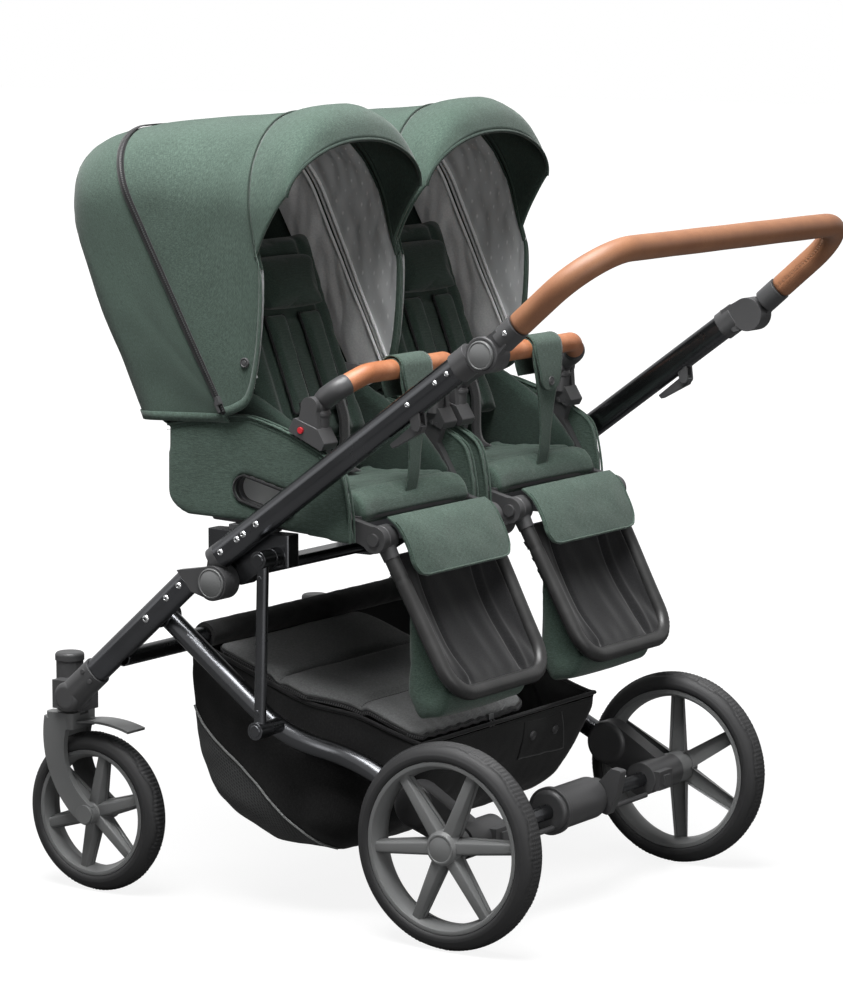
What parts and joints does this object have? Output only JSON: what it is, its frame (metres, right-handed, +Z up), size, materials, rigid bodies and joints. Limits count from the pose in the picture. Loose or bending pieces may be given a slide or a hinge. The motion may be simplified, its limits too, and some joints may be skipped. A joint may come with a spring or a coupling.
{
  "type": "twin side by side stroller",
  "caption": "Folding side-by-side pushchair: pair of rear-facing lift-off seats with hoods, footrests and leather bumper bars on one chassis with tilting handle, basket and swivel wheels.",
  "frame": {"origin": "on the floor under the middle of the whole object's bounding box", "axes": "+X to the pusher's left, +Y back towards the handle, +Z up; the front faces -Y"},
  "size_m": [0.79, 1.0108, 1.148],
  "materials": {
    "frame_metal": "satin",
    "plastic_black": "matte",
    "rim_plastic": "satin",
    "tyre_rubber": "matte",
    "leather_brown": "satin",
    "fabric_green": "woven",
    "fabric_black": "woven",
    "fabric_grey": "woven",
    "leather_black": "satin",
    "button_red": "gloss"
  },
  "bodies": {
    "front_frame": {"front_tubes": "frame_metal", "front_fittings": "plastic_black"},
    "rear_frame": {"rear_legs": "frame_metal", "rear_axle": "frame_metal", "hub_carriers": "plastic_black", "brake_housing": "plastic_black", "basket": "fabric_black", "basket_lid": "fabric_grey"},
    "push_frame": {"push_tubes": "frame_metal", "push_fittings": "plastic_black", "seat_carrier": "plastic_black"},
    "brake_pedal": {"brake_pedal": "plastic_black"},
    "handle": {"handle_arms": "plastic_black", "handle_grip": "leather_brown"},
    "caster_left": {"caster_fork_left": "plastic_black"},
    "caster_lock_left": {"caster_lock_left": "plastic_black"},
    "front_wheel_left": {"front_rim_left": "rim_plastic", "front_tyre_left": "tyre_rubber"},
    "rear_wheel_left": {"rear_rim_left": "rim_plastic", "rear_tyre_left": "tyre_rubber"},
    "axle_button_left": {"axle_button_left": "plastic_black"},
    "link_left": {"link_left": "frame_metal"},
    "release_lever_left": {"release_lever_left": "plastic_black"},
    "handle_button_left": {"handle_button_left": "plastic_black"},
    "seat_left": {"seat_frame_left": "plastic_black", "seat_tub_left": "fabric_green", "seat_pad_left": "fabric_green", "crotch_strap_left": "fabric_green"},
    "backrest_left": {"backrest_left": "fabric_green", "hood_rear_left": "fabric_green"},
    "hood_front_left": {"hood_visor_left": "fabric_green", "hood_main_left": "fabric_green"},
    "footrest_left": {"footrest_loop_left": "leather_black", "footrest_cover_left": "fabric_green"},
    "bumper_left": {"bumper_bar_left": "leather_brown"},
    "bumper_button_left_a": {"bumper_button_left_a": "button_red"},
    "bumper_button_left_b": {"bumper_button_left_b": "button_red"},
    "caster_right": {"caster_fork_right": "plastic_black"},
    "caster_lock_right": {"caster_lock_right": "plastic_black"},
    "front_wheel_right": {"front_rim_right": "rim_plastic", "front_tyre_right": "tyre_rubber"},
    "rear_wheel_right": {"rear_rim_right": "rim_plastic", "rear_tyre_right": "tyre_rubber"},
    "axle_button_right": {"axle_button_right": "plastic_black"},
    "link_right": {"link_right": "frame_metal"},
    "release_lever_right": {"release_lever_right": "plastic_black"},
    "handle_button_right": {"handle_button_right": "plastic_black"},
    "seat_right": {"seat_frame_right": "plastic_black", "seat_tub_right": "fabric_green", "seat_pad_right": "fabric_green", "crotch_strap_right": "fabric_green"},
    "backrest_right": {"backrest_right": "fabric_green", "hood_rear_right": "fabric_green"},
    "hood_front_right": {"hood_visor_right": "fabric_green", "hood_main_right": "fabric_green"},
    "footrest_right": {"footrest_loop_right": "leather_black", "footrest_cover_right": "fabric_green"},
    "bumper_right": {"bumper_bar_right": "leather_brown"},
    "bumper_button_right_a": {"bumper_button_right_a": "button_red"},
    "bumper_button_right_b": {"bumper_button_right_b": "button_red"}
  },
  "joints": [
    {"name": "fold", "type": "hinge", "parent": "front_frame", "child": "push_frame", "pos_m": [0, -0.12587, 0.488], "axis": [-1, 0, 0], "range_deg": [0, 40], "deforming": ["basket", "basket_lid"]},
    {"name": "leg_fold", "type": "hinge", "parent": "front_frame", "child": "rear_frame", "pos_m": [0, -0.24488, 0.426], "axis": [-1, 0, 0], "range_deg": [0, 19]},
    {"name": "handle_tilt", "type": "hinge", "parent": "push_frame", "child": "handle", "pos_m": [0, 0.32212, 0.834], "axis": [1, 0, 0], "range_deg": [-50, 40]},
    {"name": "brake_press", "type": "hinge", "parent": "rear_frame", "child": "brake_pedal", "pos_m": [0, 0.23012, 0.145], "axis": [-1, 0, 0], "range_deg": [0, 12]},
    {"name": "link_swing_left", "type": "hinge", "parent": "push_frame", "child": "link_left", "pos_m": [0.381, -0.03587, 0.53], "axis": [1, 0, 0], "range_deg": [0, 25]},
    {"name": "release_lever_pull_left", "type": "hinge", "parent": "push_frame", "child": "release_lever_left", "pos_m": [0.363, 0.21213, 0.731], "axis": [-1, 0, 0], "range_deg": [0, 6], "stiffness_Nm_per_rad": 0.3},
    {"name": "caster_swivel_left", "type": "hinge", "parent": "front_frame", "child": "caster_left", "pos_m": [0.312, -0.43788, 0.266], "axis": [0, 0, 1], "continuous": true},
    {"name": "caster_lock_left", "type": "slide", "parent": "front_frame", "child": "caster_lock_left", "axis": [0, 0, -1], "range_m": [0, 0.0045]},
    {"name": "front_wheel_spin_left", "type": "hinge", "parent": "caster_left", "child": "front_wheel_left", "pos_m": [0.312, -0.38788, 0.1175], "axis": [1, 0, 0], "continuous": true},
    {"name": "rear_wheel_spin_left", "type": "hinge", "parent": "rear_frame", "child": "rear_wheel_left", "pos_m": [0.316, 0.23012, 0.145], "axis": [1, 0, 0], "continuous": true},
    {"name": "axle_button_press_left", "type": "slide", "parent": "rear_frame", "child": "axle_button_left", "axis": [0, -1, 0], "range_m": [0, 0.004], "stiffness_N_per_m": 500},
    {"name": "handle_button_press_left", "type": "slide", "parent": "handle", "child": "handle_button_left", "axis": [-1, 0, 0], "range_m": [0, 0.004], "stiffness_N_per_m": 500},
    {"name": "seat_lift_left", "type": "slide", "parent": "push_frame", "child": "seat_left", "axis": [0, 0, 1], "range_m": [0, 0.05]},
    {"name": "recline_left", "type": "hinge", "parent": "seat_left", "child": "backrest_left", "pos_m": [0.175, -0.09988, 0.64], "axis": [1, 0, 0], "range_deg": [0, 30]},
    {"name": "hood_fold_left", "type": "hinge", "parent": "backrest_left", "child": "hood_front_left", "pos_m": [0.175, -0.11288, 0.758], "axis": [1, 0, 0], "range_deg": [0, 30], "deforming": ["hood_main_left"]},
    {"name": "footrest_tilt_left", "type": "hinge", "parent": "seat_left", "child": "footrest_left", "pos_m": [0.175, 0.11213, 0.562], "axis": [1, 0, 0], "range_deg": [-20, 55]},
    {"name": "bumper_tilt_left", "type": "hinge", "parent": "seat_left", "child": "bumper_left", "pos_m": [0.175, 0.01512, 0.742], "axis": [-1, 0, 0], "range_deg": [0, 60], "deforming": ["crotch_strap_left"]},
    {"name": "bumper_release_left_a", "type": "slide", "parent": "seat_left", "child": "bumper_button_left_a", "axis": [-1, 0, 0], "range_m": [0, 0.003], "stiffness_N_per_m": 500},
    {"name": "bumper_release_left_b", "type": "slide", "parent": "seat_left", "child": "bumper_button_left_b", "axis": [1, 0, 0], "range_m": [0, 0.003], "stiffness_N_per_m": 500},
    {"name": "link_swing_right", "type": "hinge", "parent": "push_frame", "child": "link_right", "pos_m": [-0.381, -0.03587, 0.53], "axis": [1, 0, 0], "range_deg": [0, 25]},
    {"name": "release_lever_pull_right", "type": "hinge", "parent": "push_frame", "child": "release_lever_right", "pos_m": [-0.363, 0.21213, 0.731], "axis": [-1, 0, 0], "range_deg": [0, 6], "stiffness_Nm_per_rad": 0.3},
    {"name": "caster_swivel_right", "type": "hinge", "parent": "front_frame", "child": "caster_right", "pos_m": [-0.312, -0.43788, 0.266], "axis": [0, 0, 1], "continuous": true},
    {"name": "caster_lock_right", "type": "slide", "parent": "front_frame", "child": "caster_lock_right", "axis": [0, 0, -1], "range_m": [0, 0.0045]},
    {"name": "front_wheel_spin_right", "type": "hinge", "parent": "caster_right", "child": "front_wheel_right", "pos_m": [-0.312, -0.38788, 0.1175], "axis": [1, 0, 0], "continuous": true},
    {"name": "rear_wheel_spin_right", "type": "hinge", "parent": "rear_frame", "child": "rear_wheel_right", "pos_m": [-0.316, 0.23012, 0.145], "axis": [1, 0, 0], "continuous": true},
    {"name": "axle_button_press_right", "type": "slide", "parent": "rear_frame", "child": "axle_button_right", "axis": [0, -1, 0], "range_m": [0, 0.004], "stiffness_N_per_m": 500},
    {"name": "handle_button_press_right", "type": "slide", "parent": "handle", "child": "handle_button_right", "axis": [1, 0, 0], "range_m": [0, 0.004], "stiffness_N_per_m": 500},
    {"name": "seat_lift_right", "type": "slide", "parent": "push_frame", "child": "seat_right", "axis": [0, 0, 1], "range_m": [0, 0.05]},
    {"name": "recline_right", "type": "hinge", "parent": "seat_right", "child": "backrest_right", "pos_m": [-0.175, -0.09988, 0.64], "axis": [1, 0, 0], "range_deg": [0, 30]},
    {"name": "hood_fold_right", "type": "hinge", "parent": "backrest_right", "child": "hood_front_right", "pos_m": [-0.175, -0.11288, 0.758], "axis": [1, 0, 0], "range_deg": [0, 30], "deforming": ["hood_main_right"]},
    {"name": "footrest_tilt_right", "type": "hinge", "parent": "seat_right", "child": "footrest_right", "pos_m": [-0.175, 0.11213, 0.562], "axis": [1, 0, 0], "range_deg": [-20, 55]},
    {"name": "bumper_tilt_right", "type": "hinge", "parent": "seat_right", "child": "bumper_right", "pos_m": [-0.175, 0.01512, 0.742], "axis": [-1, 0, 0], "range_deg": [0, 60], "deforming": ["crotch_strap_right"]},
    {"name": "bumper_release_right_a", "type": "slide", "parent": "seat_right", "child": "bumper_button_right_a", "axis": [-1, 0, 0], "range_m": [0, 0.003], "stiffness_N_per_m": 500},
    {"name": "bumper_release_right_b", "type": "slide", "parent": "seat_right", "child": "bumper_button_right_b", "axis": [1, 0, 0], "range_m": [0, 0.003], "stiffness_N_per_m": 500}
  ],
  "couplings": [
    {"joint": "leg_fold", "follows": "fold", "ratio": 0.463},
    {"joint": "link_swing_left", "follows": "fold", "ratio": 0.619},
    {"joint": "link_swing_right", "follows": "fold", "ratio": 0.619}
  ]
}
